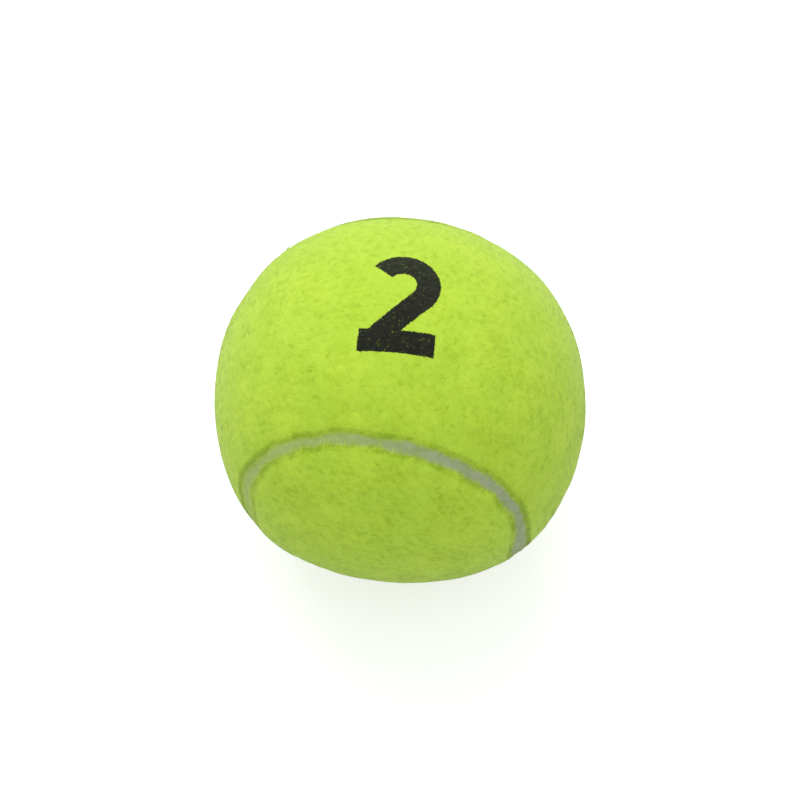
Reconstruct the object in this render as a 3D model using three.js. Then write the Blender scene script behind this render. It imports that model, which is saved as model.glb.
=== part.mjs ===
// Padel ball: a gas-filled rubber core of two half-shells, covered by two felt panels.
// Millimetres, +Z up, origin at the centre of the ball.
// Both panels are the same dog-bone blank. The upper one has its waist on +Z and its
// lobes on +X and -X. The lower one has its waist on -Z and its lobes on +Y and -Y.

import * as THREE from 'three';
import { mergeVertices } from 'three/addons/utils/BufferGeometryUtils.js';

// Rubber core
const coreRadius = 29.3;
const coreWall = 3.6;
const rimChamfer = 0.4;

// Cured cement: the ring between the half-shells, and the coat under each panel
const bondThickness = 0.3;
const bondBead = 0.7;
const cementThickness = 0.15;

// Felt panels: thickness at the middle of a lobe, and the rise of the nap along the seam
const feltThickness = 2.85;
const shoulderRise = 0.85;
const edgeRound = 0.9;
const lobeLift = THREE.MathUtils.degToRad(4);

// Seam compound between the cut edges of the panels
const seamWidth = 1.9;
const seamDepth = 0.75;
const seamHollow = 0.25;

// Clearance at every bonded joint
const bondLine = 0.05;

// Facet counts
const arcStations = 22;
const outerRows = 9;
const backRows = 5;
const roundSteps = 2;
const hollowSteps = 4;
const coreSides = 36;
const coreRows = 9;
const beadSteps = 6;

// Seam line on the unit sphere: four arcs of small circles, each round the centre of a
// lobe, that meet on the equator halfway between neighbouring lobes
const lobeCount = 4;
const arcRadius = Math.acos(Math.cos(lobeLift) / Math.SQRT2);
const arcHalfSpan = Math.acos(-Math.tan(lobeLift) / Math.tan(arcRadius));

// One station of the seam line, on the arc round lobe number k. Even lobes belong to the
// upper panel and point down at their tips, odd ones to the lower panel and point up.
function seamStation(k, alpha) {
  const azimuth = k * 2 * Math.PI / lobeCount;
  const upper = k % 2 === 0;
  const towards = upper ? -1 : 1;
  const outward = new THREE.Vector3(Math.cos(azimuth), Math.sin(azimuth), 0);
  const centre = outward.clone().multiplyScalar(Math.cos(lobeLift));
  centre.z = towards * Math.sin(lobeLift);
  const tip = outward.clone().multiplyScalar(-Math.sin(lobeLift));
  tip.z = towards * Math.cos(lobeLift);
  const side = new THREE.Vector3(-Math.sin(azimuth), Math.cos(azimuth), 0);
  const ray = tip.multiplyScalar(Math.cos(alpha)).addScaledVector(side, Math.sin(alpha));
  return { centre, ray, upper, onTip: Math.cos(alpha) >= 0 };
}

// Every station round the closed seam
const stations = [];
for (let k = 0; k < lobeCount; k++) {
  for (let j = 0; j < arcStations; j++) {
    stations.push(seamStation(k, arcHalfSpan * (2 * j / arcStations - 1)));
  }
}

// Direction of the point that lies a given angle from the seam, into the upper panel
function besideSeam(station, angle) {
  const reach = arcRadius - (station.upper ? angle : -angle);
  const point = station.centre.clone().multiplyScalar(Math.cos(reach));
  return point.addScaledVector(station.ray, Math.sin(reach));
}

// Where a station's rows end on the spine of the upper panel, which runs over the top
// from the centre of one lobe to the centre of the other
function spineFoot(station) {
  if (station.upper && station.onTip) {
    return station.centre.clone();
  }
  const foot = besideSeam(station, 0);
  foot.y = 0;
  return foot.normalize();
}

// Direction part of the way along the great circle from a to b
function along(a, b, share) {
  const angle = a.angleTo(b);
  const point = a.clone().multiplyScalar(Math.sin((1 - share) * angle));
  return point.addScaledVector(b, Math.sin(share * angle)).divideScalar(Math.sin(angle));
}

// The two facets of each cell between neighbouring profiles, all round the closed seam
function facets(profiles, closedProfile) {
  const list = [];
  profiles.forEach((profile, i) => {
    const next = profiles[(i + 1) % profiles.length];
    const cells = closedProfile ? profile.length : profile.length - 1;
    for (let j = 0; j < cells; j++) {
      const k = (j + 1) % profile.length;
      list.push([profile[j], next[k], next[j]]);
      list.push([profile[j], profile[k], next[k]]);
    }
  });
  return list;
}

// Solid from one profile per station. An open profile starts and ends on the spine.
function loft(profiles, closedProfile) {
  const points = facets(profiles, closedProfile).flat();
  return weld(new THREE.BufferGeometry().setFromPoints(points));
}

// Merges shared corners and drops the facets that close up to nothing
function weld(geometry) {
  geometry.deleteAttribute('normal');
  geometry.deleteAttribute('uv');
  const mergeDistance = 1e-3;
  const merged = mergeVertices(geometry, mergeDistance);
  const corners = merged.getIndex().array;
  const kept = [];
  for (let i = 0; i < corners.length; i += 3) {
    const [a, b, c] = corners.slice(i, i + 3);
    if (a !== b && b !== c && c !== a) {
      kept.push(a, b, c);
    }
  }
  merged.setIndex(kept);
  merged.computeVertexNormals();
  return merged;
}

// Flat facets dip under the sphere that their corners lie on. This is the factor that
// lifts a skin of unit radius until no facet is nearer to the centre than 1.
function facetLift(profiles) {
  let least = 1;
  const plane = new THREE.Plane();
  for (const [a, b, c] of facets(profiles, false)) {
    if (new THREE.Triangle(a, b, c).getArea() > Number.EPSILON) {
      plane.setFromCoplanarPoints(a, b, c);
      least = Math.min(least, Math.abs(plane.constant));
    }
  }
  return 1 / least;
}

// Rows of directions from the edge of the upper panel to its spine
function rowsToSpine(edgeAngle, rows) {
  return stations.map((station) => {
    const edge = besideSeam(station, edgeAngle);
    const foot = spineFoot(station);
    return Array.from({ length: rows + 1 }, (_, j) => along(edge, foot, j / rows));
  });
}

// The back of the felt, both sides of the cement coat and the floor of the seam share
// these angles, so their facets lie parallel
const nominalRadius = coreRadius + cementThickness + feltThickness + shoulderRise;
const cutAngle = (seamWidth / 2) / nominalRadius;
const roundAngle = edgeRound / nominalRadius;
const seamAngle = cutAngle - bondLine / coreRadius;
const backDirections = rowsToSpine(cutAngle, backRows);
const floorDirections = stations.map((s) => [besideSeam(s, -seamAngle), besideSeam(s, seamAngle)]);

// Radii, worked outwards from the core. These are where the corners of the facets lie.
const cavityRadius = coreRadius - coreWall;
const cementInside = (coreRadius + bondLine) * facetLift(backDirections);
const cementOutside = cementInside + cementThickness;
const feltBack = cementOutside + bondLine;
const lobeRadius = feltBack + feltThickness;
const shoulderRadius = lobeRadius + shoulderRise;
const seamFloor = (coreRadius + bondLine) * facetLift(floorDirections);
const seamSide = shoulderRadius - seamDepth;

// Felt panel: crowned outer skin, rounded cut edge, wall down to the cement, plain back
function feltPanelGeometry() {
  const skinDirections = rowsToSpine(cutAngle + roundAngle, outerRows);
  const profiles = stations.map((station, i) => {
    const skin = skinDirections[i].map((direction, j) => {
      const nap = Math.cos(Math.PI / 2 * j / outerRows) ** 2;
      return direction.clone().multiplyScalar(lobeRadius + shoulderRise * nap);
    });
    const edge = [];
    for (let step = 1; step <= roundSteps; step++) {
      const turn = Math.PI / 2 * step / roundSteps;
      const direction = besideSeam(station, cutAngle + roundAngle * (1 - Math.sin(turn)));
      edge.push(direction.multiplyScalar(shoulderRadius - edgeRound * (1 - Math.cos(turn))));
    }
    const back = backDirections[i].map((d) => d.clone().multiplyScalar(feltBack));
    return [...skin.reverse(), ...edge, ...back];
  });
  return loft(profiles, false);
}

// Cement coat that bonds a panel to the core, as wide as the panel's back
function cementGeometry() {
  const profiles = backDirections.map((row) => {
    const outside = row.map((d) => d.clone().multiplyScalar(cementOutside));
    const inside = row.map((d) => d.clone().multiplyScalar(cementInside));
    return [...outside.reverse(), ...inside];
  });
  return loft(profiles, false);
}

// Seam compound: one unbroken band that fills the groove from the core up, with a
// hollow top that climbs a little up the cut edges of the felt
function seamGeometry() {
  const profiles = stations.map((station, i) => {
    const [left, right] = floorDirections[i].map((d) => d.clone().multiplyScalar(seamFloor));
    const top = [];
    for (let step = 0; step <= hollowSteps; step++) {
      const across = 1 - 2 * step / hollowSteps;
      const radius = seamSide - seamHollow * (1 - across ** 2);
      top.push(besideSeam(station, seamAngle * across).multiplyScalar(radius));
    }
    return [left, right, ...top];
  });
  return loft(profiles, true);
}

// Quarter-circle of profile points, from the pole down to a given height
function poleArc(radius, height, steps) {
  const end = Math.acos(height / radius);
  return Array.from({ length: steps + 1 }, (_, i) => {
    const polar = end * i / steps;
    return new THREE.Vector2(radius * Math.sin(polar), radius * Math.cos(polar));
  });
}

// Profile turned about the Z axis
function turned(profile) {
  return weld(new THREE.LatheGeometry(profile, coreSides).rotateX(Math.PI / 2));
}

// Moulded half-shell: even wall, ground rim, and a chamfer where the flash was trimmed
function coreHalfGeometry() {
  const rim = bondThickness / 2 + bondLine;
  const outside = poleArc(coreRadius, rim + rimChamfer, coreRows);
  const inside = poleArc(cavityRadius, rim, coreRows);
  const rimEdge = Math.sqrt(coreRadius ** 2 - rim ** 2) - rimChamfer;
  return turned([...inside, new THREE.Vector2(rimEdge, rim), ...outside.reverse()]);
}

// Cement ring between the rims, with the bead that squeezes out into the cavity
function bondRingGeometry() {
  const half = bondThickness / 2;
  const beadCentre = Math.sqrt(cavityRadius ** 2 - bondBead ** 2) - bondLine;
  const rimEdge = coreRadius - rimChamfer;
  const profile = [new THREE.Vector2(rimEdge, -half)];
  profile.push(new THREE.Vector2(rimEdge, half));
  profile.push(new THREE.Vector2(beadCentre, half));
  for (let step = 0; step <= beadSteps; step++) {
    const turn = Math.PI * step / beadSteps;
    const x = beadCentre - bondBead * Math.sin(turn);
    profile.push(new THREE.Vector2(x, bondBead * Math.cos(turn)));
  }
  profile.push(new THREE.Vector2(beadCentre, -half));
  profile.push(profile[0].clone());
  return turned(profile);
}

// Materials
const rubber = new THREE.MeshStandardMaterial({ color: 0x3c3b39, roughness: 0.85, metalness: 0 });
const cement = new THREE.MeshStandardMaterial({ color: 0xcbb98a, roughness: 0.6, metalness: 0 });
const felt = new THREE.MeshStandardMaterial({ color: 0xb4da52, roughness: 1, metalness: 0 });
const compound = new THREE.MeshStandardMaterial({ color: 0x9aa678, roughness: 0.9, metalness: 0 });

// A half turn about the line through two seam crossings swaps the upper and lower panels
const swapAxis = new THREE.Vector3(1, 1, 0).normalize();

function place(name, geometry, material, swapped = false) {
  const mesh = new THREE.Mesh(geometry, material);
  mesh.name = name;
  if (swapped) {
    mesh.quaternion.setFromAxisAngle(swapAxis, Math.PI);
  }
  return mesh;
}

// Assembly, from the inside out
const coreHalf = coreHalfGeometry();
const cementCoat = cementGeometry();
const feltPanel = feltPanelGeometry();

const core = new THREE.Group();
core.add(place('core_half_upper', coreHalf, rubber));
core.add(place('core_half_lower', coreHalf, rubber, true));
core.add(place('core_bond_ring', bondRingGeometry(), cement));

const cover = new THREE.Group();
cover.add(place('cement_coat_upper', cementCoat, cement));
cover.add(place('cement_coat_lower', cementCoat, cement, true));
cover.add(place('felt_panel_upper', feltPanel, felt));
cover.add(place('felt_panel_lower', feltPanel, felt, true));
cover.add(place('seam_band', seamGeometry(), compound));

const group = new THREE.Group();
group.add(core, cover);

export default group;
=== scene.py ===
"""A padel ball: two dog-bone felt panels stretched over a hollow rubber core, with a
grey compound cured in the seam between their cut edges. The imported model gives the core
and the cement; the felt, its nap, the seam compound and the print are made here."""

import math

import bmesh
import bpy
import numpy as np
from mathutils import Matrix, Vector
from mathutils.bvhtree import BVHTree


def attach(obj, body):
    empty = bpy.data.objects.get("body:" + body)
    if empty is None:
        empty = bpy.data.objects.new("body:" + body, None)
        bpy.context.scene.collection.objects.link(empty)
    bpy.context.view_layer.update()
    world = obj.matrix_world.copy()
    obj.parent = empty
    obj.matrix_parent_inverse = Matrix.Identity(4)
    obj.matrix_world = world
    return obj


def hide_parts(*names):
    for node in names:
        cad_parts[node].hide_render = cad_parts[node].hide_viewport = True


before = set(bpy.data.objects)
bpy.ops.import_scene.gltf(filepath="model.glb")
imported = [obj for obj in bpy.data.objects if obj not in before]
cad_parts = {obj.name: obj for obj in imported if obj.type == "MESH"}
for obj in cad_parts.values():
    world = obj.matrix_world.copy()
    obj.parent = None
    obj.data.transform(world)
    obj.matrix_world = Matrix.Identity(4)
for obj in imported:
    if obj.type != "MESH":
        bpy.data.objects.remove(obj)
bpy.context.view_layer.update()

MM = 0.001

# Sizes of the ball, in metres
FELT_BACK = 29.72 * MM
LOBE_RADIUS = 32.565 * MM
SHOULDER_RISE = 0.85 * MM
SHOULDER_RADIUS = LOBE_RADIUS + SHOULDER_RISE
SEAM_WIDTH = 1.6 * MM
SEAM_SUNK = 0.25 * MM
SEAM_HOLLOW = 0.08 * MM
SEAM_FLOOR = 29.40 * MM
EDGE_REACH = 2.4 * MM
EDGE_DROP = 0.6 * MM

# The seam line: four arcs of small circles, one round the end of each lobe, in radians.
# A place along it is its station, from 0 to 4, a whole number where two arcs meet
LOBE_LIFT = math.radians(4.0)
LOBE_SPAN = math.acos(math.cos(LOBE_LIFT) / math.sqrt(2))
ARC_SPAN = math.acos(-math.tan(LOBE_LIFT) / math.tan(LOBE_SPAN))
SHOULDER_REACH = math.radians(42.0)
HALF_SEAM = SEAM_WIDTH / 2 / SHOULDER_RADIUS
EDGE_ANGLE = EDGE_REACH / SHOULDER_RADIUS

# How far the seam was laid off its true line, as waves round the ball, in degrees
WANDER = ((-0.47, 0.44), (0.0, 0.7), (-0.82, 0.64), (0.61, 0.93))
WANDER_REACH = math.radians(16.0)
# and at single places of it: the station, the shift in degrees, and the spread
LAID_OFF = ((1.37, -8.0, 0.34), (1.84, 2.5, 0.16))
# Where the compound lies deeper or higher: the station, the depth in mm, and the spread
SUNK_MORE = ((1.45, 0.05, 0.30), (1.83, -0.10, 0.12), (0.10, -0.17, 0.12),
             (2.98, -0.17, 0.14))
# Where the gap closes, as a share of its width: the station, the share, and the spread
PINCHED = ((2.96, 0.65, 0.08), (3.355, 0.4, 0.018), (3.70, -0.18, 0.16))
# Where more felt fluff is caught on the compound: the station, how much, and the spread
FLUFFED = ((2.96, 0.5, 0.12), (3.22, 0.2, 0.12))
# How raggedly each edge was cut: how far off, how long each rag is, how far it shows
RAGGED_CUT = 0.16 * MM
RAGGED_LENGTH = 5 * MM
RAGGED_REACH = math.radians(4.0)
RAGGED_SEEDS = (11, 12)

# Where the ball is out of round: the way there from its middle, the rise in mm, and how
# far it spreads, in degrees
FLATS = (
    ((0.17, 0.85, 0.49), -1.19, 34),
    ((0.57, 0.68, 0.46), -0.09, 9),
    ((-0.97, 0.20, 0.17), 0.20, 8),
    ((-0.42, -0.79, -0.44), -0.47, 8),
    ((0.97, -0.20, -0.17), 0.14, 14),
    ((-0.05, -0.86, -0.50), -0.88, 24),
    ((0.80, -0.40, -0.35), 0.45, 16),
    ((-0.51, 0.73, 0.46), -0.27, 13),
    ((-0.93, -0.32, -0.14), -0.39, 20),
    ((0.82, 0.47, 0.33), -0.21, 9),
    ((-0.09, 0.81, 0.58), -0.14, 7),
    ((-0.57, 0.64, 0.51), 0.08, 5),
    ((-0.83, 0.40, 0.38), -0.14, 7),
    ((-0.93, 0.24, 0.29), 0.15, 7),
    ((-0.96, -0.29, -0.02), 0.07, 9),
    ((-0.56, -0.76, -0.32), 0.07, 9),
    ((0.33, -0.84, -0.42), -0.18, 7),
    ((0.69, -0.65, -0.32), 0.33, 6),
    ((0.80, -0.54, -0.26), 0.07, 8),
    ((0.94, -0.32, -0.14), 0.13, 9),
    ((1.00, -0.06, 0.01), 0.25, 9),
)


def unit_rows(rows):
    """Each row made 1 long."""
    return rows / np.linalg.norm(rows, axis=1)[:, None]


def times(rows, scale):
    """Each row times a number of its own."""
    return rows * np.asarray(scale)[:, None]


# The four lobes: even ones are the upper panel's and point down, odd ones the lower's
lobe_numbers = np.arange(4)
lobe_azimuths = lobe_numbers * math.pi / 2
lobe_signs = np.where(lobe_numbers % 2, 1.0, -1.0)
LOBE_OUT = np.c_[np.cos(lobe_azimuths), np.sin(lobe_azimuths), np.zeros(4)]
LOBE_CENTRES = LOBE_OUT * math.cos(LOBE_LIFT)
LOBE_CENTRES[:, 2] = lobe_signs * math.sin(LOBE_LIFT)
LOBE_TIPS = -LOBE_OUT * math.sin(LOBE_LIFT)
LOBE_TIPS[:, 2] = lobe_signs * math.cos(LOBE_LIFT)
LOBE_SIDES = np.c_[-np.sin(lobe_azimuths), np.cos(lobe_azimuths), np.zeros(4)]
# The planes that part each lobe from the next, where two arcs of the seam meet
PARTING = unit_rows(np.cross(LOBE_CENTRES, np.roll(LOBE_CENTRES, -1, axis=0)))


def quarter_of(rows):
    """Which quarter turn each point lies in: 0 from lobe 0 to lobe 1, and so on."""
    return np.floor(np.arctan2(rows[:, 1], rows[:, 0]) / (math.pi / 2)).astype(int) % 4


def lobe_of(rows):
    """Which lobe's arc of the seam each point lies beside."""
    above = (rows * PARTING[quarter_of(rows)]).sum(1) >= 0
    return np.where(
        above, np.where(rows[:, 1] > 0, 1, 3), np.where(rows[:, 0] > 0, 0, 2)
    )


def beside_seam(unit):
    """For points on a unit sphere: their angle from the true seam line, positive on the
    upper panel, their station along it, and the way across it to that panel."""
    lobe = lobe_of(unit)
    centre = LOBE_CENTRES[lobe]
    cosine = (unit * centre).sum(1).clip(-1, 1)
    sign = lobe_signs[lobe]
    away = times(unit, cosine) - centre
    across = times(away, sign / np.maximum(np.linalg.norm(away, axis=1), 1e-9))
    bearing = np.arctan2(
        (unit * LOBE_SIDES[lobe]).sum(1), (unit * LOBE_TIPS[lobe]).sum(1)
    )
    station = lobe + 0.5 + bearing.clip(-ARC_SPAN, ARC_SPAN) / (2 * ARC_SPAN)
    return sign * (np.arccos(cosine) - LOBE_SPAN), station % 4, across


def seam_points(station, offset):
    """Points on a unit sphere at a station of the seam and an angle across it."""
    lobe = np.floor(station).astype(int) % 4
    bearing = ARC_SPAN * (2 * (station - np.floor(station)) - 1)
    ray = times(LOBE_TIPS[lobe], np.cos(bearing)) + times(
        LOBE_SIDES[lobe], np.sin(bearing)
    )
    span = LOBE_SPAN + lobe_signs[lobe] * offset
    return times(LOBE_CENTRES[lobe], np.cos(span)) + times(ray, np.sin(span))


# Lumps are a sum of this many waves, each a share between these two of the lumps' size
LUMP_WAVES = 28
LUMP_SHARES = (0.7, 1.5)


def lumps(points, size, seed):
    """A smooth random height of about 1 at each point, with lumps of the given size."""
    rng = np.random.default_rng(seed)
    ways = unit_rows(rng.normal(size=(LUMP_WAVES, 3)))
    lengths = size * rng.uniform(*LUMP_SHARES, LUMP_WAVES)
    phases = rng.uniform(0, 2 * math.pi, LUMP_WAVES)
    height = np.zeros(len(points))
    for way, length, phase in zip(ways, lengths, phases):
        height += np.cos(points @ way * (2 * math.pi / length) + phase)
    return height * math.sqrt(2 / LUMP_WAVES)


def local(station, bumps):
    """The sum of single bumps along the seam, each a station, a height and a spread."""
    total = np.zeros(len(station))
    for middle, height, spread in bumps:
        away = (station - middle + 2) % 4 - 2
        total += height * np.exp(-((away / spread) ** 2))
    return total


def seam_section(station):
    """How deep the compound lies under the shoulders, and the angle from the seam line
    at which it meets the rounded felt, further out than the wall under it."""
    sunk = SEAM_SUNK + local(station, SUNK_MORE) * MM
    slope = (1 - sunk / EDGE_DROP).clip(0, 1)
    return sunk, HALF_SEAM + EDGE_ANGLE * (1 - np.sqrt(1 - slope**2))


def laid(unit):
    """Moves points of the true ball to where the felt was laid and cut by hand."""
    distance, station, across = beside_seam(unit)
    turn = station * math.pi / 2
    wander = sum(
        math.radians(a) * np.cos(n * turn) + math.radians(b) * np.sin(n * turn)
        for n, (a, b) in enumerate(WANDER, 1)
    )
    wander = wander + np.radians(local(station, LAID_OFF))
    shift = wander * np.exp(-((distance / WANDER_REACH) ** 2))
    side = (distance / HALF_SEAM).clip(-1, 1)
    upper_cut, lower_cut = (
        lumps(unit * LOBE_RADIUS, RAGGED_LENGTH, seed) for seed in RAGGED_SEEDS
    )
    ragged = (1 + side) / 2 * upper_cut + (1 - side) / 2 * lower_cut
    closed = side * HALF_SEAM * local(station, PINCHED)
    shift += (RAGGED_CUT / LOBE_RADIUS * ragged - closed) * np.exp(
        -((distance / RAGGED_REACH) ** 2)
    )
    return unit_rows(unit + times(across, np.tan(shift)))


def skin_radius(distance):
    """The felt's outer radius, which rises to a shoulder beside the seam."""
    share = (np.abs(distance) / SHOULDER_REACH).clip(0, 1)
    return LOBE_RADIUS + SHOULDER_RISE * np.cos(share * math.pi / 2) ** 2


def out_of_round(unit):
    """How much further out the felt lies than on a true ball, from its broad flats."""
    rise = np.zeros(len(unit))
    for way, height, spread in FLATS:
        angle = np.arccos((unit @ unit_rows(np.array([way]))[0]).clip(-1, 1))
        rise += height * MM * np.exp(-((angle / math.radians(spread)) ** 2))
    return rise


def as_piece(name, mesh, smooth=True):
    """A piece that wears a mesh, shaded smooth or flat."""
    piece = bpy.data.objects.new(name, mesh)
    bpy.context.scene.collection.objects.link(piece)
    mesh.polygons.foreach_set("use_smooth", [smooth] * len(mesh.polygons))
    return piece


def modelled(name, bm, smooth=True):
    """The piece that a finished bmesh makes."""
    mesh = bpy.data.meshes.new(name)
    bm.to_mesh(mesh)
    bm.free()
    return as_piece(name, mesh, smooth)


def turn_outwards(mesh):
    """Turns every face of a closed mesh to point out of it."""
    bm = bmesh.new()
    bm.from_mesh(mesh)
    bmesh.ops.recalc_face_normals(bm, faces=bm.faces[:])
    bm.to_mesh(mesh)
    bm.free()


def places(mesh):
    """Where each vertex of a mesh is, one row each."""
    found = np.empty(len(mesh.vertices) * 3)
    mesh.vertices.foreach_get("co", found)
    return found.reshape(-1, 3)


def put(mesh, points):
    """Moves each vertex of a mesh to the place in its row."""
    mesh.vertices.foreach_set("co", np.ascontiguousarray(points).ravel())
    mesh.update()


def corners_of(mesh):
    """The vertex at each corner of a mesh's faces, in one row."""
    found = np.empty(len(mesh.loops), dtype=np.int32)
    mesh.loops.foreach_get("vertex_index", found)
    return found


def read(mesh, name, kind=float):
    """One number for each vertex or face of a mesh, that its modelling left there."""
    layer = mesh.attributes[name].data
    found = np.empty(len(layer), dtype=kind)
    layer.foreach_get("value", found)
    return found


def leave(mesh, name, numbers):
    """Leaves a number on each vertex of a mesh, for its finish to read."""
    mesh.attributes.new(name, "FLOAT", "POINT").data.foreach_set("value", numbers)


# The blank margin round a piece's map, and how near the far pole it may come
MAP_MARGIN = 0.01
POLE_CLEAR = 0.02


def keep_bake_map(mesh, pole):
    """The piece's own map: the ball spread flat round a pole, its areas kept true."""
    unit = unit_rows(places(mesh)) * (1, pole, pole)
    flat = unit[:, :2] * np.sqrt(2 / (1 + unit[:, 2]).clip(POLE_CLEAR, 2))[:, None]
    low, high = flat.min(0), flat.max(0)
    flat = (flat - low) / (high - low) * (1 - 2 * MAP_MARGIN) + MAP_MARGIN
    spread = flat[corners_of(mesh)]
    mesh.uv_layers.new(name="OFBake").data.foreach_set("uv", spread.ravel())


# The parts of a panel, which each of its faces is marked with
OUTER, WALL, BACK = 0, 1, 2
# The rings down its cut edge, of which the first ones turn a quarter round
EDGE_RINGS = 8
ROUND_RINGS = 6
# How finely the blank is cut from a ball, and its skin divided again
BLANK_ROUNDS = 5
SKIN_ROUNDS = 3
# The blank is cut this far from the seam line, and welded this close
INSET = HALF_SEAM + EDGE_ANGLE
BLANK_WELD = 8e-3
# How far past the cut the skin may start, where it is eased to, and where that ends
EASED_FROM, EASED_TO, EASED_END = -2e-3, 5e-4, 12e-3
# The lumps of the pile, each with its height and its size
PILE_LUMPS = ((0.02 * MM, 1.5 * MM), (0.03 * MM, 9 * MM))


def each_once(items):
    """The same items in the order in which they first come, alike on every run."""
    return list(dict.fromkeys(items))


def put_in_order(bm, level):
    """Puts the parts of a bmesh, which extruding leaves in an order of chance, in one
    that every run shares. level is the layer that tells apart vertices in one place."""

    def sort(parts, key):
        ranks = {part: rank for rank, part in enumerate(sorted(parts, key=key))}
        parts.sort(key=ranks.get)
        parts.index_update()

    sort(bm.verts, lambda vert: (vert[level], *vert.co))
    for parts in (bm.edges, bm.faces):
        sort(parts, lambda part: sorted(vert.index for vert in part.verts))


def cut_blank():
    """The upper panel as a skin on a unit sphere, cut where its rounded edge begins."""
    bm = bmesh.new()
    bmesh.ops.create_icosphere(bm, subdivisions=BLANK_ROUNDS, radius=1)

    def split(which, number, place, way):
        """Parts the faces that lie beside one quarter or lobe along a plane."""
        middles = np.array([face.calc_center_median() for face in bm.faces])
        faces = [face for face, n in zip(bm.faces, which(middles)) if n == number]
        edges = each_once(edge for face in faces for edge in face.edges)
        verts = each_once(vert for face in faces for vert in face.verts)
        bmesh.ops.bisect_plane(
            bm, geom=faces + edges + verts, plane_co=place, plane_no=way
        )

    for quarter in range(4):
        split(quarter_of, quarter, (0, 0, 0), Vector(PARTING[quarter]))
    for lobe in range(4):
        centre = Vector(LOBE_CENTRES[lobe])
        span = LOBE_SPAN + lobe_signs[lobe] * INSET
        split(lobe_of, lobe, centre * math.cos(span), centre)
    middles = unit_rows(np.array([face.calc_center_median() for face in bm.faces]))
    distance, _, _ = beside_seam(middles)
    offcut = [face for face, inwards in zip(bm.faces, distance) if inwards < INSET]
    bmesh.ops.delete(bm, geom=offcut, context="FACES")
    bmesh.ops.remove_doubles(bm, verts=bm.verts[:], dist=BLANK_WELD)
    bmesh.ops.triangulate(bm, faces=bm.faces[:])
    return bm


def panel_solid():
    """The blank given its thickness, with rings down its cut edge, and its outer skin
    divided again. The depth of each vertex runs from 0 on the skin to 1 on the back."""
    bm = cut_blank()
    depth = bm.verts.layers.float.new("depth")
    part = bm.faces.layers.int.new("part")
    back = set(bm.faces)
    made = bmesh.ops.extrude_face_region(bm, geom=bm.faces[:], use_keep_orig=True)
    skin = {face for face in made["geom"] if isinstance(face, bmesh.types.BMFace)}
    for vert in bm.verts:
        vert[depth] = 1.0
    for face in bm.faces:
        face[part] = BACK if face in back else OUTER if face in skin else WALL
    for vert in {vert for face in skin for vert in face.verts}:
        vert[depth] = 0.0
    put_in_order(bm, depth)

    def drop(edge):
        return abs(edge.verts[0][depth] - edge.verts[1][depth])

    bmesh.ops.subdivide_edges(
        bm,
        edges=[edge for edge in bm.edges if drop(edge) > 0],
        cuts=EDGE_RINGS - 1,
        use_grid_fill=True,
    )
    # an edge runs up or down by chance, so the depths of its rings are made exact
    for vert in bm.verts:
        vert[depth] = round(vert[depth] * EDGE_RINGS) / EDGE_RINGS
    put_in_order(bm, depth)
    # only the edges that run level are divided, and none on the back
    lowest_ring = 1 - 0.5 / EDGE_RINGS
    for _ in range(SKIN_ROUNDS):
        fine = [
            edge for edge in bm.edges
            if drop(edge) < 0.5 / EDGE_RINGS
            and all(vert[depth] < lowest_ring for vert in edge.verts)
        ]
        bmesh.ops.subdivide_edges(bm, edges=fine, cuts=1, use_grid_fill=True)
        bmesh.ops.triangulate(
            bm, faces=[face for face in bm.faces if len(face.verts) > 4]
        )
    bmesh.ops.triangulate(bm, faces=bm.faces[:])
    return bm


def felt_panel(name, upper, seed):
    """One felt panel, with its rounded cut edge, its crown and its pile's lumps."""
    piece = modelled(name, panel_solid())
    mesh = piece.data
    depth, part = read(mesh, "depth"), read(mesh, "part", np.int32)
    unit = unit_rows(places(mesh))
    cut = np.zeros(len(unit), dtype=bool)
    cut[corners_of(mesh).reshape(-1, 3)[part == WALL]] = True
    distance, _, across = beside_seam(unit)
    # rings down the cut edge: a quarter round, then the wall
    bend = (depth * EDGE_RINGS / ROUND_RINGS).clip(0, 1) * math.pi / 2
    wanted = HALF_SEAM + EDGE_ANGLE * (1 - np.sin(bend))
    # the skin next to the cut is eased away from it, so that no face is turned over
    inside = distance - INSET
    eased = np.interp(inside, [EASED_FROM, EASED_END], [EASED_TO, EASED_END])
    shift = np.where(inside < EASED_END, eased - inside, 0)
    shift = np.where(cut, wanted - distance, shift)
    unit = unit_rows(unit + times(across, np.tan(shift)))
    drop = np.where(cut, EDGE_DROP * (1 - np.cos(bend)), 0)
    back = depth == 1
    radius = np.where(back, FELT_BACK, skin_radius(distance + shift) - drop)
    # the last ring before the back is half way down the wall
    low_wall = cut & ~back & (depth * EDGE_RINGS > EDGE_RINGS - 1.5)
    radius[low_wall] = (radius[low_wall] + FELT_BACK) / 2
    if not upper:
        unit = unit[:, [1, 0, 2]] * (1, 1, -1)
    hill = (1 - depth).clip(0, 1) * sum(
        height * lumps(unit * LOBE_RADIUS, size, seed + n)
        for n, (height, size) in enumerate(PILE_LUMPS)
    )
    unit = laid(unit)
    hill += out_of_round(unit) * np.interp(
        depth, [0, ROUND_RINGS / EDGE_RINGS, 1], [1, 1, 0]
    )
    put(mesh, times(unit, radius + np.where(back, 0, hill)))
    turn_outwards(mesh)
    return piece


# How many steps the compound's section takes round the ball and over its top
BAND_AROUND = 960
BAND_ACROSS = 12
# The lumps of the compound, each with its height, its size and its seed
COMPOUND_LUMPS = ((0.05 * MM, 1.6 * MM, 41), (0.05 * MM, 7 * MM, 42))


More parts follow.
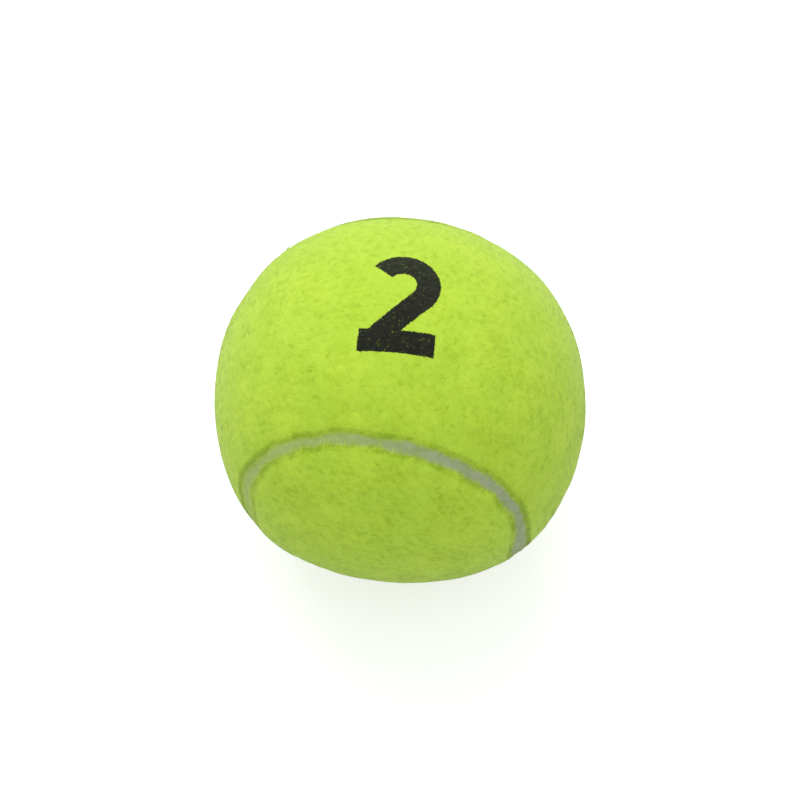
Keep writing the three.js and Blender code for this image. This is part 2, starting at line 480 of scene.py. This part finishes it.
def seam_compound(name):
    """The band of grey compound: a closed section carried right round the seam."""
    bm = bmesh.new()
    step = bm.verts.layers.float.new("step")
    bmesh.ops.create_circle(bm, segments=BAND_AROUND, radius=1)
    first = ring = bm.edges[:]
    # the top's steps, then both ends of each wall
    for n in range(1, BAND_ACROSS + 5):
        made = bmesh.ops.extrude_edge_only(bm, edges=ring)["geom"]
        for vert in made:
            if isinstance(vert, bmesh.types.BMVert):
                vert[step] = n
        ring = [
            edge for edge in made if isinstance(edge, bmesh.types.BMEdge)
            and all(vert[step] == n for vert in edge.verts)
        ]
    bmesh.ops.bridge_loops(bm, edges=first + ring)
    put_in_order(bm, step)
    piece = modelled(name, bm)
    mesh = piece.data
    steps = read(mesh, "step")
    circle = places(mesh)
    station = (np.arctan2(circle[:, 1], circle[:, 0]) / (math.pi / 2)) % 4
    share = (steps / BAND_ACROSS).clip(0, 1) * 2 - 1
    down = (steps - BAND_ACROSS).clip(0, None)
    # the top laps onto the rounded felt on both sides, and the rest follows its walls
    wall_top = SHOULDER_RADIUS - EDGE_DROP
    sunk, meeting = seam_section(station)
    radius = np.where(
        down > 0,
        np.interp(down, [1, 2, 3, 4], [wall_top, SEAM_FLOOR, SEAM_FLOOR, wall_top]),
        SHOULDER_RADIUS - sunk - SEAM_HOLLOW * (1 - share**2),
    )
    offset = np.where(
        down > 0,
        np.interp(down, [1, 2, 3, 4], [1, 1, -1, -1]) * HALF_SEAM,
        share * meeting,
    )
    unit = seam_points(station, offset)
    middle = (down == 0) * (1 - share**2)
    rise = sum(
        height * lumps(unit * LOBE_RADIUS, size, seed) * middle
        for height, size, seed in COMPOUND_LUMPS
    )
    unit = laid(unit)
    rise = rise + out_of_round(unit) * np.interp(down, [0, 1, 2, 3, 4], [1, 1, 0, 0, 1])
    put(mesh, times(unit, radius + rise))
    turn_outwards(mesh)
    leave(mesh, "outer", np.abs(share) + local(station, FLUFFED))
    return piece


# Where the point, the two rings and the other point of a strand of nap lie along it
RINGS = np.array((-0.5, -0.2, 0.2, 0.5))
# How flat it is pressed: its height for its width
STRAND_FLATNESS = 0.16


def strand_shape():
    """One strand of nap, 1 long: three-sided, and drawn out to a point at both ends."""
    bm = bmesh.new()
    bmesh.ops.create_cone(
        bm, cap_ends=True, segments=3, radius1=1, radius2=1, depth=RINGS[2] - RINGS[1]
    )
    caps = [face for face in bm.faces if len(face.verts) == 3]
    for vert in bmesh.ops.poke(bm, faces=caps)["verts"]:
        vert.co.z = math.copysign(RINGS[3], vert.co.z)
    bmesh.ops.triangulate(bm, faces=bm.faces[:])
    # laid along x with one side up
    for axis, turn in (("Y", math.pi / 2), ("X", -math.pi / 2)):
        bmesh.ops.rotate(
            bm, verts=bm.verts[:], matrix=Matrix.Rotation(turn, 3, axis)
        )
    bm.verts.index_update()
    points = np.array([vert.co[:] for vert in bm.verts])
    faces = np.array([[vert.index for vert in face.verts] for face in bm.faces])
    bm.free()
    return points, faces


def strands(name, spine, beside, thick):
    """Strands of nap as one mesh, each the one shape laid over its own four places."""
    points, faces = strand_shape()
    count = len(spine)
    ring = np.abs(points[:, :1] - RINGS).argmin(1)
    wide = thick[:, None] * points[:, 1]
    high = thick[:, None] * points[:, 2] * STRAND_FLATNESS
    up = unit_rows(spine.mean(1))
    made = (
        spine[:, ring]
        + beside[:, None] * wide[..., None]
        + up[:, None] * high[..., None]
    ).reshape(-1, 3)
    corners = (
        faces[None] + (np.arange(count) * len(points))[:, None, None]
    ).reshape(-1, 3)
    mesh = bpy.data.meshes.new(name)
    mesh.vertices.add(len(made))
    mesh.vertices.foreach_set("co", made.ravel())
    mesh.loops.add(corners.size)
    mesh.loops.foreach_set("vertex_index", corners.ravel().astype(np.int32))
    mesh.polygons.add(len(corners))
    mesh.polygons.foreach_set(
        "loop_start", np.arange(0, corners.size, 3, dtype=np.int32)
    )
    mesh.update(calc_edges=True)
    # the thickest strands take the dye palest
    stout = (thick - thick.min()) / (thick.max() - thick.min())
    leave(mesh, "stout", np.repeat(stout, len(points)))
    return as_piece(name, mesh, smooth=False)


def for_now(count, thickness):
    return ((count, thickness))


# Nap over a panel: how many strands, how long and how thick, how high each arches, and
# how far its free tip stands off
MATTED = (16000, 2.1 * MM, 0.029 * MM, 0.015 * MM, 0.0)
LOOSE = (16000, 1.8 * MM, 0.024 * MM, 0.022 * MM, 0.02 * MM)
# How deep a strand's ends are bedded in the felt, and how far down the edge nap grows
BEDDED = 0.02 * MM
GROWS_DOWN = 0.4 * MM
# The brushing swirls over the panel in whorls of this size, and counts this much in the
# way a strand lies, where chance counts 1
WHORL = 18 * MM
COMBED = 0.7
# How much a strand curls sideways, as a share of its length
CURL = 0.13
# How much strands differ: the least and the most of a length, a thickness and an arch
LENGTHS = (0.6, 1.4)
THICKNESSES = (0.7, 1.3)
ARCHES = (0.4, 1.6)


def nap(name, panel, count, length, thickness, lift, loose, seed):
    """Strands of nap matted down over a panel's outer skin and its rounded edge."""
    rng = np.random.default_rng(seed)
    count, thickness = for_now(count, thickness)
    mesh = panel.data
    verts = places(mesh)
    triangles = corners_of(mesh).reshape(-1, 3)
    part = read(mesh, "part", np.int32)
    heights = np.linalg.norm(verts[triangles].mean(1), axis=1)
    rim = (part == WALL) & (heights > LOBE_RADIUS - GROWS_DOWN)
    triangles = triangles[rim | (part == OUTER)]
    a, b, c = (verts[triangles[:, n]] for n in range(3))
    areas = np.linalg.norm(np.cross(b - a, c - a), axis=1)
    picked = rng.choice(len(areas), count, p=areas / areas.sum())
    u, v = rng.uniform(size=(2, count))
    fold = u + v > 1
    u, v = np.where(fold, 1 - u, u), np.where(fold, 1 - v, v)
    root = a[picked] + times((b - a)[picked], u) + times((c - a)[picked], v)
    up = unit_rows(root)
    brushing = np.c_[tuple(lumps(root, WHORL, seed + n) for n in (1, 2, 3))]
    along = unit_rows(np.cross(up, brushing * COMBED + rng.normal(size=(count, 3))))
    beside = np.cross(up, along)
    reach = length * rng.uniform(*LENGTHS, count)
    thick = thickness * rng.uniform(*THICKNESSES, count)
    curl, curl_end = rng.normal(size=(2, count, 1)) * CURL
    crest = lift * rng.uniform(*ARCHES, (count, 1))
    tip = np.abs(rng.normal(size=(count, 1))) * loose
    arch = 1 - 4 * RINGS**2
    level = crest * arch - BEDDED + tip * (RINGS == RINGS[3])
    sideways = reach[:, None] * (curl * arch + curl_end * 4 * RINGS**3)
    spine = (
        root[:, None]
        + along[:, None] * (reach[:, None] * RINGS)[..., None]
        + beside[:, None] * sideways[..., None]
        + up[:, None] * level[..., None]
    )
    return strands(name, spine, beside, thick)


# Nap over a cut edge: how many strands, and how thick
EDGE_STRANDS = (15000, 0.022 * MM)
# Where they root, in mm from where the compound meets the felt, and how many mm they
# reach over the compound, on average and at most
EDGE_ROOTS = (0.1, 0.9)
EDGE_OVERLAP, EDGE_OVERLAP_MOST = 0.3, 1.2
# How far a strand slants along the seam, how far it bows, how high it arches, and the
# least and the most of that arch
EDGE_SLANT = 0.9 * MM
EDGE_BOW = 0.06 * MM
EDGE_LIFT = 0.025 * MM
EDGE_ARCHES = (0.3, 1.7)
# The length of the seam from one station to the next
STATION_LENGTH = 2 * ARC_SPAN * math.sin(LOBE_SPAN) * SHOULDER_RADIUS
# How far off the ball its surface is looked for from
CLEAR_OF_BALL = 3 * MM


def surface_radius(surfaces, way):
    """How far out the outermost of some surfaces lies in one direction."""
    start = way * (SHOULDER_RADIUS + CLEAR_OF_BALL)
    hits = [surface.ray_cast(start, -way)[0] for surface in surfaces]
    return max((hit.length for hit in hits if hit is not None), default=LOBE_RADIUS)


def edge_nap(name, panel, seam, side, seed):
    """Strands that lie from one panel's rounded edge onto the seam compound. side is 1
    on the upper panel's edge and -1 on the lower's."""
    rng = np.random.default_rng(seed)
    count, thickness = for_now(*EDGE_STRANDS)
    share = RINGS + 0.5
    station = rng.uniform(0, 4, (count, 1))
    edge = seam_section(station.ravel())[1][:, None]
    root = edge + rng.uniform(*EDGE_ROOTS, (count, 1)) * MM / SHOULDER_RADIUS
    overlap = rng.exponential(EDGE_OVERLAP, (count, 1)).clip(0, EDGE_OVERLAP_MOST)
    tip = edge - overlap * MM / SHOULDER_RADIUS
    slant = rng.normal(size=(count, 1)) * EDGE_SLANT
    bow = rng.normal(size=(count, 1)) * EDGE_BOW / SHOULDER_RADIUS
    offset = root + (tip - root) * share + bow * np.sin(share * math.pi)
    slanted = (station + slant * share / STATION_LENGTH) % 4
    unit = laid(seam_points(slanted.ravel(), side * offset.ravel()))
    scene_now = bpy.context.evaluated_depsgraph_get()
    surfaces = [BVHTree.FromObject(piece, scene_now) for piece in (panel, seam)]
    radius = np.array([surface_radius(surfaces, Vector(way)) for way in unit])
    radius = radius.reshape(count, 4)
    radius += EDGE_LIFT * rng.uniform(*EDGE_ARCHES, (count, 1)) * (1 - 4 * RINGS**2)
    spine = times(unit, radius.ravel()).reshape(count, 4, 3)
    along = unit_rows(spine[:, 3] - spine[:, 0])
    beside = unit_rows(np.cross(unit_rows(spine[:, 1]), along))
    return strands(name, spine, beside, thickness * rng.uniform(*THICKNESSES, count))


class Value:
    """A number in a material, so that its maths is written as plain Python."""

    def __init__(self, tree, socket):
        self.tree, self.socket = tree, socket

    def maths(self, operation, *numbers):
        """The number that one Math node makes of one or two others."""
        return Value(
            self.tree,
            self.tree.result("ShaderNodeMath", {"operation": operation}, numbers),
        )

    def __add__(self, other):
        return self.maths("ADD", self, other)

    __radd__ = __add__

    def __sub__(self, other):
        return self.maths("SUBTRACT", self, other)

    def __rsub__(self, other):
        return self.maths("SUBTRACT", other, self)

    def __mul__(self, other):
        return self.maths("MULTIPLY", self, other)

    __rmul__ = __mul__

    def __abs__(self):
        return self.maths("ABSOLUTE", self)

    def root(self):
        return self.maths("SQRT", self)

    def least(self, other):
        return self.maths("MINIMUM", self, other)

    def most(self, other):
        return self.maths("MAXIMUM", self, other)

    def share(self, none, full):
        """0 up to none and 1 from full on, smoothly between, or the other way round."""
        return Value(
            self.tree,
            self.tree.result(
                "ShaderNodeMapRange",
                {"interpolation_type": "SMOOTHSTEP"},
                Value=self,
                From_Min=none,
                From_Max=full,
            ),
        )


class NodeTree:
    """The nodes of a material or of the world, which one method makes."""

    def __init__(self, owner):
        owner.use_nodes = True
        self.nodes, self.links = owner.node_tree.nodes, owner.node_tree.links
        self.nodes.clear()

    def feed(self, socket, value):
        """Links a socket to what feeds it, or sets it to a plain number or colour."""
        if isinstance(value, Value):
            value = value.socket
        if isinstance(value, bpy.types.NodeSocket):
            self.links.new(value, socket)
        else:
            socket.default_value = value

    def feed_named(self, node, sockets):
        """Feeds a node's sockets by name, written with _ for each space."""
        for name, value in sockets.items():
            wanted = name.replace("_", " ")
            found = [s for s in node.inputs if s.enabled and s.name == wanted]
            self.feed(found[0], value)

    def node(self, kind, settings=None, numbered=(), **named):
        """A new node: its settings first, then its sockets, in order or by name."""
        made = self.nodes.new(kind)
        for name, value in (settings or {}).items():
            setattr(made, name, value)
        for socket, value in zip(made.inputs, numbered):
            self.feed(socket, value)
        self.feed_named(made, named)
        return made

    def result(self, kind, settings=None, numbered=(), **named):
        """What a new node gives, from the first output that it has in use."""
        made = self.node(kind, settings, numbered, **named)
        return next(socket for socket in made.outputs if socket.enabled)

    def seen(self):
        """1 where the camera sees this, straight on or in something glossy or clear."""
        sight = self.node("ShaderNodeLightPath").outputs
        straight, glossy, clear = (
            Value(self, sight[f"Is {kind} Ray"])
            for kind in ("Camera", "Glossy", "Transmission")
        )
        return straight.most(glossy).most(clear)


class Finish(NodeTree):
    """A material put together from nodes round one Principled shader."""

    def __init__(self, name):
        self.material = bpy.data.materials.new(name)
        super().__init__(self.material)
        self.shader = self.node("ShaderNodeBsdfPrincipled")
        self.node("ShaderNodeOutputMaterial", Surface=self.shader.outputs[0])
        self.where = self.node("ShaderNodeTexCoord").outputs["Object"]

    def set(self, **sockets):
        """Feeds the shader's own sockets."""
        self.feed_named(self.shader, sockets)

    def along(self, axis):
        """How far a place on the ball lies along X, Y or Z, in metres."""
        parts = self.node("ShaderNodeSeparateXYZ", Vector=self.where)
        return Value(self, parts.outputs[axis])

    def turned(self, turn, scale=(1, 1, 1)):
        """Object coordinates turned and squeezed, for a pattern with its own grain."""
        return self.result(
            "ShaderNodeMapping", Vector=self.where, Rotation=turn, Scale=scale
        )

    def noise(self, size, detail=2.0, roughness=0.6, distortion=0.0, where=None):
        """A random pattern from 0 to 1, with spots of about the given size."""
        return Value(
            self,
            self.result(
                "ShaderNodeTexNoise",
                Vector=where or self.where,
                Scale=1 / size,
                Detail=detail,
                Roughness=roughness,
                Distortion=distortion,
            ),
        )

    def attribute(self, name):
        """A number that the piece's modelling left on its mesh."""
        made = self.node("ShaderNodeAttribute", {"attribute_name": name})
        return Value(self, made.outputs["Fac"])

    def mix(self, factor, first, second):
        """One colour where the factor is 0 and another where it is 1."""
        return self.result(
            "ShaderNodeMix", {"data_type": "RGBA"}, Factor=factor, A=first, B=second
        )

    def bump(self, height, distance, strength):
        """The surface's normal, roughened by a height."""
        return self.result(
            "ShaderNodeBump", Height=height, Distance=distance, Strength=strength
        )


def srgb(red, green, blue):
    """A colour as a picture writes it, turned to the linear one that shaders use."""
    return tuple(
        value / 12.92 if value <= 0.04045 else ((value + 0.055) / 1.055) ** 2.4
        for value in (red / 255, green / 255, blue / 255)
    ) + (1.0,)


# Dyes, inks and the other colours of the ball
FELT_PALE = srgb(202, 233, 70)
FELT_DEEP = srgb(182, 216, 54)
FELT_GREENER = srgb(192, 228, 72)
MATTED_PALE = srgb(218, 247, 80)
MATTED_DEEP = srgb(160, 195, 36)
LOOSE_PALE = srgb(224, 250, 94)
LOOSE_DEEP = srgb(171, 205, 48)
# painted shade: a darker nap colour for the shade under the upper panel's overhanging cut
# edge
PAINTED_SHADE_NAP = srgb(150, 184, 44)
FIBRE_SHEEN = srgb(235, 250, 190)
INK = srgb(12, 12, 11)
INK_WORN = srgb(42, 46, 34)
COMPOUND_GREY = srgb(172, 181, 146)
COMPOUND_DULL = srgb(158, 174, 122)
COMPOUND_DYED = srgb(178, 200, 104)
COMPOUND_FURRED = srgb(196, 226, 92)
COMPOUND_PORE = srgb(128, 142, 92)
COMPOUND_FLUFF = srgb(188, 216, 92)
RUBBER_DARK = srgb(58, 57, 54)
RUBBER_DUSTY = srgb(70, 68, 63)
CEMENT_PALE = srgb(203, 185, 138)
CEMENT_DEEP = srgb(186, 164, 112)

# The printed numeral, in metres from its middle, its up along +Y of the ball
NUMERAL_HEIGHT = 19.0 * MM
STROKE = 4.0 * MM
HALF_STROKE = STROKE / 2
BOWL_RADIUS = 4.3 * MM
BOWL_LEAN = math.radians(-38.0)
BOWL_LAP = 0.1 * MM
NECK_LAP = 0.6 * MM
NECK_INSET = 1.25 * HALF_STROKE
# The ink's edge frays by this much, and fades over this much
INK_FRAY = 0.5 * MM
INK_FADE = 0.1 * MM


def numeral_edge(x, y):
    """How far a place on the print lies outside the strokes of a plain 2, in metres."""
    bowl_y = NUMERAL_HEIGHT / 2 - BOWL_RADIUS - HALF_STROKE
    foot_y = -NUMERAL_HEIGHT / 2 + HALF_STROKE
    reach = BOWL_RADIUS + HALF_STROKE
    rise = y - bowl_y
    ring = abs((x * x + rise * rise).root() - BOWL_RADIUS) - HALF_STROKE
    # the bowl is open below a line that runs from upper left to lower right
    ring = ring.most(x * math.sin(BOWL_LEAN) - rise * math.cos(BOWL_LEAN) - BOWL_LAP)
    # the neck runs from the bowl's lower right down to the foot's left end
    start = (
        BOWL_RADIUS * math.cos(BOWL_LEAN), bowl_y + BOWL_RADIUS * math.sin(BOWL_LEAN)
    )
    end = (-reach + NECK_INSET, foot_y)
    half_neck = math.dist(start, end) / 2
    way = (
        (end[0] - start[0]) / (2 * half_neck), (end[1] - start[1]) / (2 * half_neck)
    )
    along = (x - start[0]) * way[0] + (y - start[1]) * way[1]
    beside = (x - start[0]) * way[1] - (y - start[1]) * way[0]
    neck = (abs(along - half_neck) - half_neck - NECK_LAP).most(
        abs(beside) - HALF_STROKE
    )
    foot = (abs(x) - reach).most(abs(y - foot_y) - HALF_STROKE)
    return ring.least(neck).least(foot)


def printed(finish):
    """1 where the numeral's ink lies, with the ragged edge that print has on felt."""
    fray = finish.noise(0.55 * MM, detail=3.0, roughness=0.7)
    drift = finish.noise(0.4 * MM, where=finish.turned((0, 0, 1)))
    edge = numeral_edge(
        finish.along("X") + (fray - 0.5) * INK_FRAY,
        finish.along("Y") + (drift - 0.5) * INK_FRAY,
    )
    on_top = finish.along("Z").share(0, 2 * MM)
    return edge.share(INK_FADE, -INK_FADE) * on_top


# Where along Y the painted highlight begins to even out the felt's tone, where it evens
# it most, and how much
HIGHLIGHT_EVENING = (-6 * MM, 16 * MM)
HIGHLIGHT_EVENING_MOST = 0.75


def evened_in_highlight(finish, tone):
    """A tone made more even up towards +Y, the side that the lamp lights most: painted
    highlight, for bright light washing out the felt's colour variation.
    """
    # smooth here is how much the painted highlight evens the tone, from none to full
    # along Y
    smooth = finish.along("Y").share(*HIGHLIGHT_EVENING)
    return 0.5 + (tone - 0.5) * (1 - smooth * HIGHLIGHT_EVENING_MOST)


def dye_tone(finish, clump, grain, patch):
    """How deep the dye looks, from clumps, single fibres and broad patches of felt."""
    tone = clump * 0.42 + grain * 0.22 + patch * 0.36
    # the tone is evened towards +Y as painted highlight
    return evened_in_highlight(finish, tone.share(0.38, 0.62))


def give_fibres(finish, sheen):
    """The dull surface and the soft bright edge that fibres have."""
    finish.set(Specular_IOR_Level=0.2, Sheen_Weight=sheen, Sheen_Roughness=0.5)
    finish.set(Sheen_Tint=FIBRE_SHEEN)


def felt_finish(name, depth):
    """Brushed felt. depth darkens it all over towards FELT_DEEP: painted shade, for the
    skin that lies in the nap's shade.
    """
    felt = Finish(name)
    clump = felt.noise(1.4 * MM, detail=3.0)
    grain = felt.noise(
        0.4 * MM, distortion=0.6, where=felt.turned((0.3, 0.1, 0.4), (0.45, 1, 1))
    )
    cloud = felt.noise(9 * MM, roughness=0.5)
    patch = felt.noise(5 * MM, roughness=0.5)
    tone = dye_tone(felt, clump, grain, patch)
    pale = felt.mix(cloud.share(0.35, 0.65), FELT_PALE, FELT_GREENER)
    # depth is painted shade: the whole skin is pushed towards FELT_DEEP for lying under
    # the nap
    colour = felt.mix(tone * 0.7 + depth, pale, FELT_DEEP)
    ink = felt.mix(grain.share(0.45, 0.75), INK, INK_WORN)
    felt.set(
        Base_Color=felt.mix(printed(felt), colour, ink),
        Roughness=0.92,
        Normal=felt.bump(clump + grain, 0.05 * MM, 0.15),
    )
    give_fibres(felt, 0.4)
    return felt.material


def nap_finish(name, pale, deep, missed, painted_shade=0.0):
    """Strands of dyed nap, which the print reaches too. missed is how much of the
    colour still shows where the ink didn't take, and painted_shade how much painted
    shade darkens the strands on the -Y side, for the shade under a cut edge."""
    fibre = Finish(name)
    clump = fibre.noise(1.6 * MM, detail=3.0)
    grain = fibre.noise(0.4 * MM, detail=1.0)
    patch = fibre.noise(5 * MM, roughness=0.5)
    tone = dye_tone(fibre, clump, grain, patch)
    # the strands' own tone is evened towards +Y as painted highlight
    slight = evened_in_highlight(fibre, 1 - fibre.attribute("stout"))
    colour = fibre.mix(tone * 0.65 + slight * 0.35, pale, deep)
    # painted shade on the strands: full at 0 and below along Y, none from 14 mm up
    if painted_shade:
        painted_shade_share = fibre.along("Y").share(14 * MM, 0) * painted_shade
        colour = fibre.mix(painted_shade_share, colour, PAINTED_SHADE_NAP)
    worn = fibre.noise(0.7 * MM).share(0.4, 0.75)
    ink = fibre.mix(worn, INK, INK_WORN)
    spots = fibre.noise(0.45 * MM, detail=1.0, roughness=0.5)
    bare = spots.share(0.60, 0.70) * missed
    fibre.set(
        Base_Color=fibre.mix(printed(fibre) * (1 - bare), colour, ink),
        Roughness=0.85,
    )
    give_fibres(fibre, 0.45)
    return fibre.material


def compound_finish():
    """Cured seam compound: blotched and pitted, stained by the dye towards -X, and with
    felt fluff caught along both its edges and all over it towards +Y."""
    compound = Finish("cured seam compound")
    blotch = compound.noise(1.6 * MM, detail=3.0)
    pores = compound.noise(0.35 * MM)
    fluff = compound.noise(0.5 * MM)
    dyed = compound.along("X").share(14 * MM, -16 * MM)
    furred = compound.along("Y").share(6 * MM, 22 * MM)
    caught = (compound.attribute("outer") + (fluff - 0.5) * 0.9).share(0.35, 1.15)
    colour = compound.mix(blotch.share(0.35, 0.65), COMPOUND_GREY, COMPOUND_DULL)
    for factor, stain in (
        (dyed * 0.8, COMPOUND_DYED),
        (furred * 0.8, COMPOUND_FURRED),
        (pores.share(0.55, 0.72) * 0.35, COMPOUND_PORE),
        (caught * 0.8, COMPOUND_FLUFF),
    ):
        colour = compound.mix(factor, colour, stain)
    compound.set(
        Base_Color=colour,
        Roughness=0.7 + blotch * 0.2,
        Normal=compound.bump(blotch + pores, 0.1 * MM, 0.4),
        Specular_IOR_Level=0.3,
    )
    return compound.material


def rubber_finish():
    """Dark moulded rubber, a little dusty from its mould."""
    rubber = Finish("moulded core rubber")
    cloud = rubber.noise(6 * MM, detail=3.0)
    speck = rubber.noise(0.5 * MM)
    rubber.set(
        Base_Color=rubber.mix(cloud.share(0.3, 0.7), RUBBER_DARK, RUBBER_DUSTY),
        Roughness=0.62 + speck * 0.2,
        Normal=rubber.bump(speck, 0.05 * MM, 0.5),
    )
    return rubber.material


def cement_finish():
    """Cement as the brush left it to dry."""
    cement = Finish("dried rubber cement")
    cloud = cement.noise(4 * MM, detail=3.0)
    brush = cement.noise(
        1.2 * MM, distortion=0.4, where=cement.turned((0.2, 0.5, 0.1), (0.3, 1, 1))
    )
    cement.set(
        Base_Color=cement.mix(cloud.share(0.3, 0.7), CEMENT_PALE, CEMENT_DEEP),
        Roughness=0.35 + brush * 0.3,
        Normal=cement.bump(brush, 0.05 * MM, 0.5),
    )
    return cement.material


def wear(piece, material):
    """Gives every slot of a piece, or the one it lacks, the same material."""
    if not piece.material_slots:
        piece.data.materials.append(material)
    for slot in piece.material_slots:
        slot.material = material


# The camera: where it looks from, what is up in the picture, how far off it stands, its
# film and lens in mm, its shift in widths of the picture, and the nearest and furthest
# that it sees
VIEW_FROM = Vector((0.0469, -0.5061, 0.8612))
VIEW_UP = Vector((-0.0935, 0.8562, 0.5082))
VIEW_DISTANCE = 393.6 * MM
FILM, LENS = 36, 100.5
SHIFT = (0.6 / 800, 1.4 / 800)
NEAREST, FURTHEST = 0.02, 20
camera = bpy.data.objects.new("camera", bpy.data.cameras.new("camera"))
bpy.context.scene.collection.objects.link(camera)
bpy.context.scene.camera = camera
back = VIEW_FROM.normalized()
right = VIEW_UP.cross(back).normalized()
camera.matrix_world = Matrix.Translation(back * VIEW_DISTANCE) @ Matrix(
    (right, back.cross(right), back)
).transposed().to_4x4()
camera.data.sensor_width, camera.data.lens = FILM, LENS
camera.data.shift_x, camera.data.shift_y = SHIFT
camera.data.clip_start, camera.data.clip_end = NEAREST, FURTHEST

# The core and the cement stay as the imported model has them
rubber, cement = rubber_finish(), cement_finish()
for node in ("core_half_upper", "core_half_lower"):
    wear(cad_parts[node], rubber)
for node in ("core_bond_ring", "cement_coat_upper", "cement_coat_lower"):
    wear(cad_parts[node], cement)

# The felt panels and the seam between them
# the skin under the nap is darkened by painted shade
felt = felt_finish("felt in painted shade under its nap", depth=0.15)
felt_upper = felt_panel("felt_upper", upper=True, seed=21)
felt_lower = felt_panel("felt_lower", upper=False, seed=31)
for piece, node, pole in (
    (felt_upper, "felt_panel_upper", 1),
    (felt_lower, "felt_panel_lower", -1),
):
    wear(piece, felt)
    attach(piece, "root")
    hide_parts(node)
    keep_bake_map(piece.data, pole)
seam = seam_compound("seam_compound")
wear(seam, compound_finish())
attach(seam, "root")
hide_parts("seam_band")

# Over each panel: strands matted down, shorter and paler ones that stand looser, and
# those along its cut edge
matted = nap_finish("matted nap", MATTED_PALE, MATTED_DEEP, missed=0.2)
loose = nap_finish("loose nap", LOOSE_PALE, LOOSE_DEEP, missed=0.5)
# the upper panel's edge nap carries painted shade towards -Y, for the shade under its
# overhanging cut edge
painted_shade = nap_finish("soaked nap", MATTED_PALE, MATTED_DEEP, missed=0.2, painted_shade=0.35)
for panel, word, side, edge_finish, coat, seed in (
    (felt_upper, "upper", 1, painted_shade, "cement_coat_upper", 51),
    (felt_lower, "lower", -1, matted, "cement_coat_lower", 61),
):
    grown = [
        (nap(f"nap_matted_{word}_1", panel, *MATTED, seed), matted),
        (nap(f"nap_matted_{word}_2", panel, *MATTED, seed + 4), matted),
        (nap(f"nap_loose_{word}", panel, *LOOSE, seed + 9), loose),
        (edge_nap(f"nap_edge_{word}", panel, seam, side, seed + 13), edge_finish),
    ]
    for piece, material in grown:
        wear(piece, material)
        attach(piece, "root")
        keep_bake_map(piece.data, side)

# The floor that the ball lies on, white to the camera away from the ball's shadow
FLOOR_LEVEL = -LOBE_RADIUS - 0.1 * MM
FLOOR_HALF_WIDTH = 4
FLOOR_TONE = srgb(208, 208, 208)
FLOOR_GLOW = (0.6, 0.6, 0.6, 1)
bm = bmesh.new()
bmesh.ops.create_grid(bm, x_segments=1, y_segments=1, size=FLOOR_HALF_WIDTH)
bmesh.ops.translate(bm, verts=bm.verts[:], vec=(0, 0, FLOOR_LEVEL))
floor = modelled("floor", bm, smooth=False)
ground = Finish("pale floor")
ground.set(
    Base_Color=FLOOR_TONE,
    Roughness=0.9,
    Specular_IOR_Level=0.0,
    Emission_Color=ground.mix(ground.seen(), (0, 0, 0, 1), FLOOR_GLOW),
    Emission_Strength=1.0,
)
wear(floor, ground.material)

# The studio: one light for the ball from all round it, and white for the camera
STUDIO_LIGHT, LIGHT_LEVEL = (0.97, 0.99, 1.0, 1), 0.755
STUDIO_WHITE, WHITE_LEVEL = (1, 1, 1, 1), 1.0
world = bpy.data.worlds.new("studio")
bpy.context.scene.world = world
studio = NodeTree(world)
lit = studio.result("ShaderNodeBackground", Color=STUDIO_LIGHT, Strength=LIGHT_LEVEL)
shown = studio.result("ShaderNodeBackground", Color=STUDIO_WHITE, Strength=WHITE_LEVEL)
both = studio.result("ShaderNodeMixShader", numbered=(studio.seen(), lit, shown))
studio.node("ShaderNodeOutputWorld", Surface=both)

# and a broad soft lamp above: the way to it, how far off and how wide it is in metres,
# and its power in watts
LAMP_WAY = Vector((-0.24, 0.60, 0.77)).normalized()
LAMP_DISTANCE, LAMP_WIDTH, LAMP_POWER = 1.0, 0.9, 5.4
lamp = bpy.data.objects.new("softbox overhead", bpy.data.lights.new("softbox", "AREA"))
bpy.context.scene.collection.objects.link(lamp)
lamp.location = LAMP_WAY * LAMP_DISTANCE
lamp.rotation_mode = "QUATERNION"
lamp.rotation_quaternion = LAMP_WAY.to_track_quat("Z", "Y")
lamp.data.size, lamp.data.energy = LAMP_WIDTH, LAMP_POWER

bpy.context.scene.view_settings.view_transform = "Standard"
